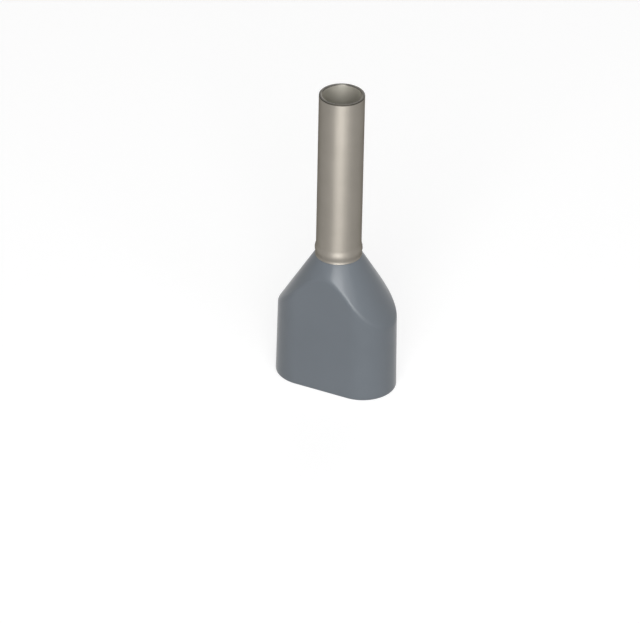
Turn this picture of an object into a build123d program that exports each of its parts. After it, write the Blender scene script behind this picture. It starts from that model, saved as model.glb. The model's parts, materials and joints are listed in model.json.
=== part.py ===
from build123d import *

import os
from math import radians, tan

# Twin wire ferrule for two fine-stranded conductors of 0.75 mm2, in millimetres.
# It stands on the collar's mouth. The origin is the middle of the mouth, +Z runs out of the
# sleeve's tip, X is the collar's wide way and Y its narrow way.

# Sleeve: a thin tinned copper tube, open at the tip, that the terminal clamps
bore_radius = 0.90
sleeve_wall = 0.15
sleeve_reach = 8.35  # from the collar's lip to the tip
sleeve_grip = 1.80  # held inside the collar
tip_round = 0.04
bead_height = 0.055  # of the low bead that stops the collar from creeping up the tube
bead_length = 0.60
bead_lift = 0.05  # from the lip to the bead
flare_height = 0.08  # how far the tube's inner end opens out
flare_length = 0.35

# Collar: a moulded plastic funnel over the insulation of both wires
mouth_width = 5.90
mouth_depth = 3.20
collar_height = 6.65
collar_wall = 0.38
draft_angle = 0.85  # of the outside
core_draft_angle = 0.30  # of the hollow
shoulder_angle = 31.0  # between the shoulder's cone and the axis
funnel_angle = 45.0  # the same for the cone inside that leads the strands into the tube
lip_wall = 0.04
crease_round = 0.20
rim_round = 0.06
seat_clearance = 0.01  # round the tube, where the collar holds it

# Gate mark: the shallow oval dimple that moulding leaves on one flat
gate_length = 1.00
gate_width = 0.36
gate_depth = 0.05
gate_height = 3.60  # above the mouth

# Radii and levels that both pieces share
sleeve_radius = bore_radius + sleeve_wall
seat_radius = sleeve_radius + seat_clearance
lip_radius = seat_radius + lip_wall
tip_level = collar_height + sleeve_reach
grip_level = collar_height - sleeve_grip
flare_level = grip_level + flare_length
bead_bottom = collar_height + bead_lift
bead_top = bead_bottom + bead_length


def tube_foot(radius):
    """Draws a tube wall's straight stretch inside the collar and its flare, down to the inner end."""
    Line((radius, collar_height), (radius, flare_level))
    TangentArc((radius, flare_level), (radius + flare_height, grip_level), tangent=(0, -1))


# The sleeve is a wall of even thickness turned about the axis
with BuildPart() as sleeve:
    with BuildSketch(Plane.XZ):
        with BuildLine():
            for radius in (bore_radius, sleeve_radius):
                Line((radius, tip_level), (radius, bead_top))
                Spline(
                    (radius, bead_top),
                    (radius + bead_height, (bead_top + bead_bottom) / 2),
                    (radius, bead_bottom),
                    tangents=[(0, -1), (0, -1)],
                )
                Line((radius, bead_bottom), (radius, collar_height))
                tube_foot(radius)
            for inset, level in ((0, tip_level), (flare_height, grip_level)):
                Line((bore_radius + inset, level), (sleeve_radius + inset, level))
        make_face()
    revolve(axis=Axis.Z)
    fillet(sleeve.edges().group_by(Axis.Z)[-1], tip_round)


def funnel_form(width, depth, draft, top_radius, top_level, angle):
    """Makes a drafted slot prism that stands on the mouth and is cut to a cone round the tube's axis."""
    with BuildPart() as form:
        with BuildSketch():
            SlotOverall(width, depth)
        extrude(amount=top_level, taper=draft)
        with BuildSketch(Plane.XZ):
            foot_radius = top_radius + top_level * tan(radians(angle))
            Polygon((0, 0), (foot_radius, 0), (top_radius, top_level), (0, top_level), align=None)
        revolve(axis=Axis.Z, mode=Mode.INTERSECT)
    return form.part


# The shell's outside, up to the lip
outside = funnel_form(mouth_width, mouth_depth, draft_angle, lip_radius, collar_height, shoulder_angle)

# The hollow: room for both insulated wires, with a funnel to the tube's flared end
hollow = funnel_form(
    mouth_width - 2 * collar_wall,
    mouth_depth - 2 * collar_wall,
    core_draft_angle,
    seat_radius + flare_height,
    grip_level,
    funnel_angle,
)

# The seat: the sleeve's own outline with the clearance round it, from its flare up to the lip
with BuildPart() as seat:
    with BuildSketch(Plane.XZ):
        with BuildLine():
            tube_foot(seat_radius)
            Polyline(
                (seat_radius + flare_height, grip_level),
                (0, grip_level),
                (0, collar_height),
                (seat_radius, collar_height),
            )
        make_face()
    revolve(axis=Axis.Z)

with BuildPart() as collar:
    add(outside)
    ends = collar.faces().filter_by(Axis.Z).edges()
    fillet(collar.edges().filter_by(GeomType.LINE, reverse=True) - ends, crease_round)
    add(hollow, mode=Mode.SUBTRACT)
    add(seat.part, mode=Mode.SUBTRACT)
    fillet(collar.edges().group_by(Axis.Z)[0], rim_round)
    flat_level = mouth_depth / 2 - gate_height * tan(radians(draft_angle))
    with BuildSketch(Plane((0, flat_level, gate_height)).rotated((draft_angle - 90, 0, 0))):
        SlotOverall(gate_length, gate_width)
    extrude(amount=gate_depth, both=True, mode=Mode.SUBTRACT)

sleeve.part.label = "sleeve"
collar.part.label = "collar"
os.makedirs("parts", exist_ok=True)
export_step(sleeve.part, "parts/sleeve.step")
export_step(collar.part, "parts/collar.step")
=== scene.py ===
# Looks of a twin wire ferrule that stands on its collar's mouth.
# Pieces are drawn in millimetres, ring by ring round the sleeve's axis, and turned to metres at the end.
import json
import math

import bpy
from mathutils import Euler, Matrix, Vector


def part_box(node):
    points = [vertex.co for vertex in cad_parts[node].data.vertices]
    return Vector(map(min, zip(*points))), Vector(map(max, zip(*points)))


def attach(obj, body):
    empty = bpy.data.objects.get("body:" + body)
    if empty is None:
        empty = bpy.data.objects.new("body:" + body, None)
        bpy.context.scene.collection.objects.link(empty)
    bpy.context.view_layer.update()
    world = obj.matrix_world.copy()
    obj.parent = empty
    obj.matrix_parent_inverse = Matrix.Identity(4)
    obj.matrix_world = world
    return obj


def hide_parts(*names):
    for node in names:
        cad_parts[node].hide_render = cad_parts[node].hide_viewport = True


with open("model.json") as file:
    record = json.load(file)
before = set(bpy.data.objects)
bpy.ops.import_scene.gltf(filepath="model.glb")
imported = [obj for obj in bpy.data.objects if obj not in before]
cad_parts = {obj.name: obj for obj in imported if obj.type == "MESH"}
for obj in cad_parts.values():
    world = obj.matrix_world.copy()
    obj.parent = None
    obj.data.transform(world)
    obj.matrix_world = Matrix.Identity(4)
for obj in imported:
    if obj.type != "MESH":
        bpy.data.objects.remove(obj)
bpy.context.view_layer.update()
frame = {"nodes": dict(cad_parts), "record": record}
print("frame loaded:", sorted(frame["nodes"]))

mm = 0.001
mounts = {mount["name"]: mount for mount in frame["record"]["mounts"]}
tubeRadius = mounts["terminal_pin"]["dims"]["r_mm"]
boreRadius = mounts["wire_bore"]["dims"]["r_mm"]
sleeveLow, sleeveHigh = (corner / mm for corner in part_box("sleeve"))
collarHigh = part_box("collar")[1] / mm
tipLevel = sleeveHigh.z
gripLevel = sleeveLow.z  # where the tube's flared end sits inside the collar
lipLevel = collarHigh.z
flareRadius = sleeveHigh.x


def deselectAll():
    bpy.ops.object.select_all(action="DESELECT")


# Adds an open ring of edges at its size and place.
def startRing(name, steps, radius, level):
    deselectAll()
    bpy.ops.mesh.primitive_circle_add(vertices=steps, radius=radius, location=(0, 0, level))
    bpy.ops.object.transform_apply(location=True, rotation=False, scale=False)
    piece = bpy.context.object
    piece.name = piece.data.name = name
    return piece


# Extrudes the selected ring of a turned piece up or down, and scales the new one to its radius.
def extrudeRing(radius, level, nextRadius, nextLevel):
    bpy.ops.mesh.extrude_region_move(TRANSFORM_OT_translate={"value": (0, 0, nextLevel - level)})
    growth = nextRadius / radius
    bpy.ops.transform.resize(value=(growth, growth, 1), center_override=(0, 0, nextLevel))


# Pulls the selected ring onto a curve that is neither round nor level.
# A rule gives reach and level for a direction in the XY plane.
def pullRing(piece, rule):
    for vertex in piece.data.vertices:
        if vertex.select:
            direction = Vector((vertex.co.x, vertex.co.y)).normalized()
            reach, level = rule(direction)
            vertex.co = (direction.x * reach, direction.y * reach, level)


# Extrudes the selected ring and pulls the new one onto its rule.
def drawRing(piece, rule):
    bpy.ops.object.mode_set(mode="EDIT")
    bpy.ops.mesh.extrude_region_move()
    bpy.ops.object.mode_set(mode="OBJECT")
    pullRing(piece, rule)


def circleRule(radius, level):
    return lambda direction: (radius, level)


# Selects every vertex that lies on one of the rings, and enters edit mode.
def selectRings(piece, rules, tolerance=1e-4):
    bpy.ops.object.mode_set(mode="EDIT")
    bpy.ops.mesh.select_mode(type="VERT")
    bpy.ops.mesh.select_all(action="DESELECT")
    bpy.ops.object.mode_set(mode="OBJECT")
    for vertex in piece.data.vertices:
        direction = Vector((vertex.co.x, vertex.co.y))
        for rule in rules:
            reach, level = rule(direction.normalized())
            if abs(direction.length - reach) + abs(vertex.co.z - level) < tolerance:
                vertex.select = True
    bpy.ops.object.mode_set(mode="EDIT")


# Closes the wall between its first ring and its last.
def bridgeRings(piece, firstRule, lastRule):
    selectRings(piece, [firstRule, lastRule])
    bpy.ops.mesh.bridge_edge_loops()
    bpy.ops.object.mode_set(mode="OBJECT")


# Rounds the edge that runs along one ring.
def roundRing(piece, rule, offset, segments):
    selectRings(piece, [rule])
    bpy.ops.mesh.bevel(
        offset=offset,
        offset_type="OFFSET",
        segments=segments,
        affect="EDGES",
        clamp_overlap=False,
    )
    bpy.ops.object.mode_set(mode="OBJECT")


def applyAll(piece):
    bpy.context.view_layer.objects.active = piece
    for modifier in list(piece.modifiers):
        bpy.ops.object.modifier_apply(modifier=modifier.name)


# Turns the piece to metres, smooths it and hands it to the frame in place of its node.
def finishPiece(piece, material, node):
    deselectAll()
    piece.select_set(True)
    bpy.context.view_layer.objects.active = piece
    bpy.ops.object.mode_set(mode="EDIT")
    bpy.ops.mesh.select_all(action="SELECT")
    bpy.ops.mesh.normals_make_consistent(inside=False)
    bpy.ops.object.mode_set(mode="OBJECT")
    piece.scale = (mm, mm, mm)
    bpy.ops.object.transform_apply(location=True, rotation=True, scale=True)
    bpy.ops.object.shade_smooth()
    weighting = piece.modifiers.new("even shading", "WEIGHTED_NORMAL")
    weighting.keep_sharp = True
    applyAll(piece)
    piece.data.materials.append(material)
    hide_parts(node)
    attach(piece, "root")
    print("finished", piece.name, len(piece.data.polygons), "faces")


# Starts a material and gives the place on the piece that its patterns read.
def startMaterial(name):
    material = bpy.data.materials.new(name)
    material.use_nodes = True
    nodes = material.node_tree.nodes
    shader = nodes["Principled BSDF"]
    place = nodes.new("ShaderNodeTexCoord")
    return material, nodes, material.node_tree.links, shader, place.outputs["Object"]


def addNoise(nodes, links, place, scale, detail):
    noise = nodes.new("ShaderNodeTexNoise")
    noise.inputs["Scale"].default_value = scale
    noise.inputs["Detail"].default_value = detail
    links.new(place, noise.inputs["Vector"])
    return noise.outputs["Fac"]


# Clouds the colour between a look's two tones.
def cloudColor(nodes, links, shader, cloud, look):
    tone = nodes.new("ShaderNodeMix")
    tone.data_type = "RGBA"
    tone.inputs["A"].default_value = look["dark"]
    tone.inputs["B"].default_value = look["light"]
    links.new(cloud, tone.inputs["Factor"])
    links.new(tone.outputs["Result"], shader.inputs["Base Color"])


# Lets the same cloud vary the roughness a little either way.
def cloudRoughness(nodes, links, shader, cloud, roughness, spread):
    polish = nodes.new("ShaderNodeMapRange")
    polish.inputs["To Min"].default_value = roughness - spread
    polish.inputs["To Max"].default_value = roughness + spread
    links.new(cloud, polish.inputs["Value"])
    links.new(polish.outputs["Result"], shader.inputs["Roughness"])


# Adds relief too fine to be modelled.
def addRelief(nodes, links, shader, height, strength, depth):
    bump = nodes.new("ShaderNodeBump")
    bump.inputs["Strength"].default_value = strength
    bump.inputs["Distance"].default_value = depth
    links.new(height, bump.inputs["Height"])
    links.new(bump.outputs["Normal"], shader.inputs["Normal"])


tinPlateLook = {
    "light": (0.328, 0.304, 0.268, 1),
    "dark": (0.258, 0.239, 0.209, 1),
    "roughness": 0.54,
    "anisotropy": 0.58,
    # painted shade: the low edge tint darkens the plate's reflection towards the tube's sides, standing
    # in for darker surroundings reflected there
    "edgeTint": (0.2, 0.2, 0.19, 1),
}

# The bore's tin is painted light: a lighter copy of the plate's tin, so the inside of the tube shows
# lighter than its lighting gives.
paintedLighterBoreLook = {
    "light": (0.44, 0.425, 0.38, 1),
    "dark": (0.36, 0.345, 0.305, 1),
    "roughness": 0.64,
    "anisotropy": 0.1,
    "edgeTint": (0.6, 0.6, 0.57, 1),
}

wornEdgeLook = {
    "light": (0.16, 0.15, 0.135, 1),
    "dark": (0.11, 0.105, 0.095, 1),
    "roughness": 0.22,
    "anisotropy": 0,
    "edgeTint": (0.6, 0.6, 0.57, 1),
}

# What all the tin has in common, with scales per metre and depths in metres
tinGrain = {
    "cloudScale": 900,
    "cloudDetail": 6,
    "roughnessSpread": 0.06,
    "lineScale": 14000,
    "lineDetail": 3,
    "lineStretch": 0.03,  # scale along the tube, as a share of the scale across it
    "lineStrength": 0.25,
    "lineDepth": 0.00001,
    "streakTurn": 0.25,  # of a full turn, so that the shine stretches along the tube
}


# Dull tin on a drawn tube: cloudy tone, fine lines along the tube and a soft streak of light.
def tinPlate(name, look):
    grain = tinGrain
    material, nodes, links, shader, place = startMaterial(name)
    shader.inputs["Metallic"].default_value = 1
    shader.inputs["Anisotropic"].default_value = look["anisotropy"]
    shader.inputs["Anisotropic Rotation"].default_value = grain["streakTurn"]
    shader.inputs["Specular Tint"].default_value = look["edgeTint"]
    tangent = nodes.new("ShaderNodeTangent")
    tangent.direction_type = "RADIAL"
    tangent.axis = "Z"
    links.new(tangent.outputs["Tangent"], shader.inputs["Tangent"])

    cloud = addNoise(nodes, links, place, grain["cloudScale"], grain["cloudDetail"])
    cloudColor(nodes, links, shader, cloud, look)
    cloudRoughness(nodes, links, shader, cloud, look["roughness"], grain["roughnessSpread"])

    along = nodes.new("ShaderNodeMapping")
    along.inputs["Scale"].default_value = (1, 1, grain["lineStretch"])
    links.new(place, along.inputs["Vector"])
    lines = addNoise(nodes, links, along.outputs["Vector"], grain["lineScale"], grain["lineDetail"])
    addRelief(nodes, links, shader, lines, grain["lineStrength"], grain["lineDepth"])
    return material


cutEdgeLook = {
    "light": (0.09, 0.083, 0.07, 1),
    "dark": (0.035, 0.032, 0.027, 1),
    "roughness": 0.5,
    "grainScale": 9000,
    "grainDetail": 2,
}


# The sheared ring at the tube's tip, darker than the plate.
def cutEdge():
    look = cutEdgeLook
    material, nodes, links, shader, place = startMaterial("cut edge")
    shader.inputs["Metallic"].default_value = 1
    shader.inputs["Roughness"].default_value = look["roughness"]
    grain = addNoise(nodes, links, place, look["grainScale"], look["grainDetail"])
    cloudColor(nodes, links, shader, grain, look)
    return material


sleeveSize = {
    "steps": 160,
    "tipRound": 0.04,
    "roundSegments": 3,
    "cutShare": 0.8,  # of the tip's rounding, from its top, that shows the cut
    "wornShare": 0.9,  # of the inner rounding, from the bore outwards, that is worn smooth
    "beadHeight": 0.055,
    "beadLength": 0.60,
    "beadLift": 0.05,
    "beadRings": 14,
    "footWidth": 0.036,  # of the tube's turned foot on the collar's lip
    "footLift": 0.003,
    "flareLength": 0.35,
    "flareRings": 6,
}


# Radius and level of each ring down the bead.
def beadCurve():
    size = sleeveSize
    beadBottom = lipLevel + size["beadLift"]
    curve = []
    for index in range(size["beadRings"] + 1):
        part = index / size["beadRings"]
        bulge = size["beadHeight"] * (1 - math.cos(2 * math.pi * part)) / 2
        curve.append((tubeRadius + bulge, beadBottom + size["beadLength"] * (1 - part)))
    return curve


# The same down the flare, to the tube's inner end.
def flareCurve():
    size = sleeveSize
    flareLevel = gripLevel + size["flareLength"]
    flareHeight = flareRadius - tubeRadius
    bend = (size["flareLength"] ** 2 + flareHeight**2) / (2 * flareHeight)
    curve = []
    for index in range(size["flareRings"] + 1):
        drop = size["flareLength"] * index / size["flareRings"]
        curve.append((tubeRadius + bend - math.sqrt(bend**2 - drop**2), flareLevel - drop))
    return curve


# Draws the tube's wall in one loop: down the outside, up the bore, and shut at the tip.
def buildSleeve():
    size = sleeveSize
    wall = tubeRadius - boreRadius
    footRadius = tubeRadius + size["footWidth"]
    footLevel = lipLevel + size["footLift"]
    foot = [(footRadius, footLevel + size["footLift"]), (footRadius, footLevel), (tubeRadius, footLevel)]
    bore = [(radius - wall, level) for radius, level in reversed(beadCurve() + flareCurve())]
    radius, level = tubeRadius, tipLevel
    sleeve = startRing("ferruleSleeve", size["steps"], radius, level)
    bpy.ops.object.mode_set(mode="EDIT")
    for nextRadius, nextLevel in beadCurve() + foot + flareCurve() + bore + [(boreRadius, tipLevel)]:
        extrudeRing(radius, level, nextRadius, nextLevel)
        radius, level = nextRadius, nextLevel
    bpy.ops.object.mode_set(mode="OBJECT")
    outerTip = circleRule(tubeRadius, tipLevel)
    innerTip = circleRule(boreRadius, tipLevel)
    bridgeRings(sleeve, outerTip, innerTip)
    roundRing(sleeve, outerTip, size["tipRound"], size["roundSegments"])
    roundRing(sleeve, innerTip, size["tipRound"], size["roundSegments"])
    return sleeve


# Gives the bore a copy of the tin painted lighter than the plate's, as painted light inside the tube,
# and the top of the wall a dark cut ring with a worn inner edge.
def markFinishes(sleeve):
    size = sleeveSize
    for material in (tinPlate("bore tin", paintedLighterBoreLook), cutEdge(), tinPlate("worn edge", wornEdgeLook)):
        sleeve.data.materials.append(material)
    boreSlot, cutSlot, wornSlot = 1, 2, 3  # slot 0 is the plate's
    cutLevel = (tipLevel - size["tipRound"] * size["cutShare"]) * mm
    wornRadius = (boreRadius + size["tipRound"] * size["wornShare"]) * mm
    inwardTilt = -0.1  # a face that points further in than this belongs to the bore
    for face in sleeve.data.polygons:
        outward = Vector((face.center.x, face.center.y, 0))
        if face.normal.dot(outward) < inwardTilt * outward.length:
            face.material_index = boreSlot
        if face.center.z > cutLevel:
            face.material_index = wornSlot if outward.length < wornRadius else cutSlot


sleeve = buildSleeve()
finishPiece(sleeve, tinPlate("tin plate", tinPlateLook), "sleeve")
markFinishes(sleeve)


collarPlasticLook = {
    "light": (0.138, 0.156, 0.175, 1),
    "dark": (0.117, 0.133, 0.150, 1),
    "roughness": 0.29,
    "roughnessSpread": 0.015,
    "shine": 0.38,
    "cloudScale": 450,
    "cloudDetail": 5,
    "grainScale": 16000,
    "grainDetail": 4,
    "grainStrength": 0.12,
    "grainDepth": 0.00001,
}


# Grey moulded plastic with a fine spark grain and a faint cloud in its tone.
def collarPlastic():
    look = collarPlasticLook
    material, nodes, links, shader, place = startMaterial("collar plastic")
    shader.inputs["Specular IOR Level"].default_value = look["shine"]
    cloud = addNoise(nodes, links, place, look["cloudScale"], look["cloudDetail"])
    cloudColor(nodes, links, shader, cloud, look)
    cloudRoughness(nodes, links, shader, cloud, look["roughness"], look["roughnessSpread"])
    grain = addNoise(nodes, links, place, look["grainScale"], look["grainDetail"])
    addRelief(nodes, links, shader, grain, look["grainStrength"], look["grainDepth"])
    return material


collarSize = {
    "steps": 320,
    "mouthWidth": 5.90,
    "mouthDepth": 3.20,
    "wall": 0.38,
    "lipRadius": 1.10,
    "seatRadius": 1.06,
    "seatTopRadius": 1.052,  # at the lip, where the tube's foot covers the gap
    "seatTopDepth": 0.1,
    "draft": math.radians(0.85),
    "coreDraft": math.radians(0.30),
    "shoulder": math.radians(31),
    "funnel": math.radians(45),
    "wallBands": (  # from, to and between rings, as shares of the height up to the crease
        (0, 0.55, 0.05),
        (0.55, 0.67, 0.005),  # beside the gate mark
        (0.67, 0.92, 0.05),
    ),
    "creaseOffset": 0.13,
    "creaseSegments": 6,
    "rimOffset": 0.06,
    "lipOffset": 0.028,
    "roundSegments": 3,
}


# Distance from the middle of a slot to its outline in one direction.
def slotReach(direction, width, depth):
    centre = (width - depth) / 2  # of the round end
    x, y = abs(direction.x), abs(direction.y)
    if x * depth / 2 < centre * y:
        return depth / 2 / y
    return centre * x + math.sqrt((depth / 2) ** 2 - (centre * y) ** 2)


def draftedReach(direction, form, level):
    shrink = 2 * level * math.tan(form["draft"])
    return slotReach(direction, form["width"] - shrink, form["depth"] - shrink)


# Where the drafted wall meets the cone, or a share of that height up the wall.
def creaseRule(form, share=1.0):
    rounds = 12  # more than enough for the crease's level to settle

    def rule(direction):
        crease = 0
        for _ in range(rounds):
            reach = draftedReach(direction, form, crease)
            crease = form["topLevel"] - (reach - form["topRadius"]) / math.tan(form["cone"])
        level = crease * share
        return draftedReach(direction, form, level), level

    return rule


# How far up the wall its rings stand, as shares of the crease's height.
def wallShares():
    for start, stop, step in collarSize["wallBands"]:
        for index in range(round((stop - start) / step)):
            yield start + step * (index + 1)


# Draws the collar's section in one loop: up the outside, down the seat and the hollow, shut at the rim.
def buildCollar():
    size = collarSize
    outside = {
        "width": size["mouthWidth"],
        "depth": size["mouthDepth"],
        "draft": size["draft"],
        "cone": size["shoulder"],
        "topRadius": size["lipRadius"],
        "topLevel": lipLevel,
    }
    flareSeat = flareRadius + size["seatRadius"] - tubeRadius
    hollow = {
        "width": size["mouthWidth"] - 2 * size["wall"],
        "depth": size["mouthDepth"] - 2 * size["wall"],
        "draft": size["coreDraft"],
        "cone": size["funnel"],
        "topRadius": flareSeat,
        "topLevel": gripLevel,
    }
    rim = creaseRule(outside, 0)
    crease = creaseRule(outside)
    lip = circleRule(size["lipRadius"], lipLevel)
    hollowRim = creaseRule(hollow, 0)
    collar = startRing("ferruleCollar", size["steps"], size["mouthWidth"] / 2, 0)
    pullRing(collar, rim)
    for share in wallShares():
        drawRing(collar, creaseRule(outside, share))
    for rule in (
        crease,
        lip,
        circleRule(size["seatTopRadius"], lipLevel),
        circleRule(size["seatRadius"], lipLevel - size["seatTopDepth"]),
        circleRule(size["seatRadius"], gripLevel + sleeveSize["flareLength"]),
        circleRule(flareSeat, gripLevel),
        creaseRule(hollow),
        hollowRim,
    ):
        drawRing(collar, rule)
    bridgeRings(collar, rim, hollowRim)
    roundRing(collar, crease, size["creaseOffset"], size["creaseSegments"])
    roundRing(collar, rim, size["rimOffset"], size["roundSegments"])
    roundRing(collar, hollowRim, size["rimOffset"], size["roundSegments"])
    roundRing(collar, lip, size["lipOffset"], size["roundSegments"])
    return collar


gateMark = {
    "level": 3.60,
    "length": 1.00,
    "width": 0.36,
    "depth": 0.05,
    "wallRun": 0.08,  # how far its soft wall runs inwards from the outline
}


# Presses the gate mark's floor into the rear flat, and lets the wall round it follow softly.
def pressGateMark(collar):
    floorRadius = gateMark["width"] / 2 - gateMark["wallRun"]
    straight = (gateMark["length"] - gateMark["width"]) / 2
    bpy.ops.object.mode_set(mode="EDIT")
    bpy.ops.mesh.select_all(action="DESELECT")
    bpy.ops.object.mode_set(mode="OBJECT")
    for vertex in collar.data.vertices:
        onFlat = vertex.co.y > (collarSize["mouthDepth"] - collarSize["wall"]) / 2
        along = max(abs(vertex.co.x) - straight, 0)
        vertex.select = onFlat and math.hypot(along, vertex.co.z - gateMark["level"]) < floorRadius
    bpy.ops.object.mode_set(mode="EDIT")
    bpy.ops.transform.translate(
        value=(0, -gateMark["depth"], 0),
        use_proportional_edit=True,
        proportional_edit_falloff="SMOOTH",
        proportional_size=gateMark["wallRun"],
    )
    bpy.ops.object.mode_set(mode="OBJECT")


collar = buildCollar()
pressGateMark(collar)
finishPiece(collar, collarPlastic(), "collar")


studio = {
    "floorSize": 3.0,
    "floorColor": (0.40, 0.40, 0.40, 1),
    "floorRoughness": 0.9,
    "backgroundColor": (1, 1, 1, 1),
    "backgroundGlow": 0.70,
    "worldLight": 0.03,
}


# 1 for the rays that show the background: the camera's, reflections and what passes through.
def seenDirectly(nodes, links):
    path = nodes.new("ShaderNodeLightPath")
    either = path.outputs["Is Camera Ray"]
    for kind in ("Is Glossy Ray", "Is Transmission Ray"):
        largest = nodes.new("ShaderNodeMath")
        largest.operation = "MAXIMUM"
        links.new(either, largest.inputs[0])
        links.new(path.outputs[kind], largest.inputs[1])
        either = largest.outputs[0]
    return either


# A pale floor that looks white to the camera, to metal and to glass, and keeps the shadow.
def buildFloor():
    deselectAll()
    bpy.ops.mesh.primitive_plane_add(size=studio["floorSize"])
    floor = bpy.context.object
    floor.name = "studioFloor"
    material, nodes, links, shader, _ = startMaterial("pale floor")
    shader.inputs["Base Color"].default_value = studio["floorColor"]
    shader.inputs["Roughness"].default_value = studio["floorRoughness"]
    shader.inputs["Specular IOR Level"].default_value = 0
    shader.inputs["Emission Color"].default_value = studio["backgroundColor"]
    glow = nodes.new("ShaderNodeMath")
    glow.operation = "MULTIPLY"
    glow.inputs[1].default_value = studio["backgroundGlow"]
    links.new(seenDirectly(nodes, links), glow.inputs[0])
    links.new(glow.outputs[0], shader.inputs["Emission Strength"])
    floor.data.materials.append(material)


# A soft even room light, with the same white background as the floor's.
def buildWorld():
    world = bpy.data.worlds.new("studio")
    bpy.context.scene.world = world
    world.use_nodes = True
    nodes, links = world.node_tree.nodes, world.node_tree.links
    strength = nodes.new("ShaderNodeMapRange")
    strength.inputs["To Min"].default_value = studio["worldLight"]
    strength.inputs["To Max"].default_value = 1
    links.new(seenDirectly(nodes, links), strength.inputs["Value"])
    links.new(strength.outputs["Result"], nodes["Background"].inputs["Strength"])
    nodes["Background"].inputs["Color"].default_value = studio["backgroundColor"]


# Distances are in metres, the lens and its sensor in millimetres
viewpoint = {
    "azimuth": math.radians(25.85),
    "elevation": math.radians(31.63),
    "roll": math.radians(1.15),
    "distance": 0.2434,
    "aim": Vector((-0.718, -0.348, 3.46)) * mm,
    "lens": 295.6,
    "sensorWidth": 36,
    "clipStart": 0.01,
}

# Each lamp: degrees to the camera's right, degrees above the floor, metres away, metres across, watts
lamps = {
    "keyBox": (-5, 20, 0.26, 0.17, 0.50),
    "wideKey": (12, 28, 0.28, 0.28, 0.42),
    "topBox": (0, 80, 0.26, 0.10, 0.18),
    "backFill": (172, 12, 0.32, 0.24, 0.42),
}


def directionFrom(azimuth, elevation):
    return Vector(
        (
            math.sin(azimuth) * math.cos(elevation),
            -math.cos(azimuth) * math.cos(elevation),
            math.sin(elevation),
        )
    )


def buildLamps():
    centre = Vector((0, 0, tipLevel / 2)) * mm
    for name, (turn, height, distance, width, power) in lamps.items():
        away = directionFrom(viewpoint["azimuth"] + math.radians(turn), math.radians(height))
        bpy.ops.object.light_add(type="AREA", location=centre + away * distance)
        lamp = bpy.context.object
        lamp.name = name
        lamp.data.size = width
        lamp.data.energy = power
        lamp.rotation_euler = (-away).to_track_quat("-Z", "Y").to_euler()


def buildCamera():
    back = directionFrom(viewpoint["azimuth"], viewpoint["elevation"])
    bpy.ops.object.camera_add(location=viewpoint["aim"] + back * viewpoint["distance"])
    camera = bpy.context.object
    camera.name = "photoCamera"
    roll = Euler((0, 0, viewpoint["roll"])).to_matrix()
    camera.rotation_euler = ((-back).to_track_quat("-Z", "Y").to_matrix() @ roll).to_euler()
    camera.data.lens = viewpoint["lens"]
    camera.data.sensor_width = viewpoint["sensorWidth"]
    camera.data.clip_start = viewpoint["clipStart"]
    bpy.context.scene.camera = camera


buildFloor()
buildWorld()
buildLamps()
buildCamera()
bpy.context.scene.view_settings.view_transform = "Standard"
print("studio ready")
